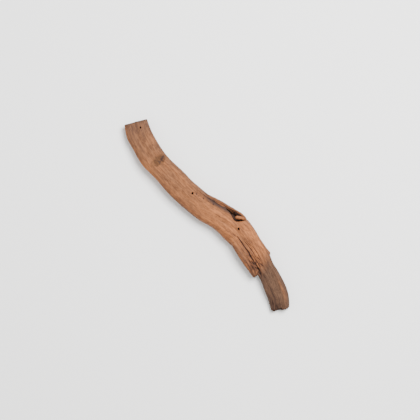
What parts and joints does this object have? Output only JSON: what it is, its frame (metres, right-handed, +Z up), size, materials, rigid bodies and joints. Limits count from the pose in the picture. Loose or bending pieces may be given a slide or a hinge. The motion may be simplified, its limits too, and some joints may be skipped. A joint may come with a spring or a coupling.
{
  "type": "spiderwood root",
  "caption": "Broad, flattened, S-curved root of bare wood with a torn window, peeled splinters, a frayed stub at its fork and a ragged lobe, lying on a surface.",
  "frame": {"origin": "middle of the root's footprint, at the height of the surface it rests on", "axes": "+X from the broad end to the ragged lobe, +Y to the side with the torn window, +Z up"},
  "size_m": [0.2972, 0.0584, 0.0204],
  "materials": {
    "root_wood": "bare, dry, weathered root wood with fine lengthwise grain, matte"
  },
  "bodies": {
    "root": {"spiderwood_root": "root_wood"}
  },
  "joints": []
}
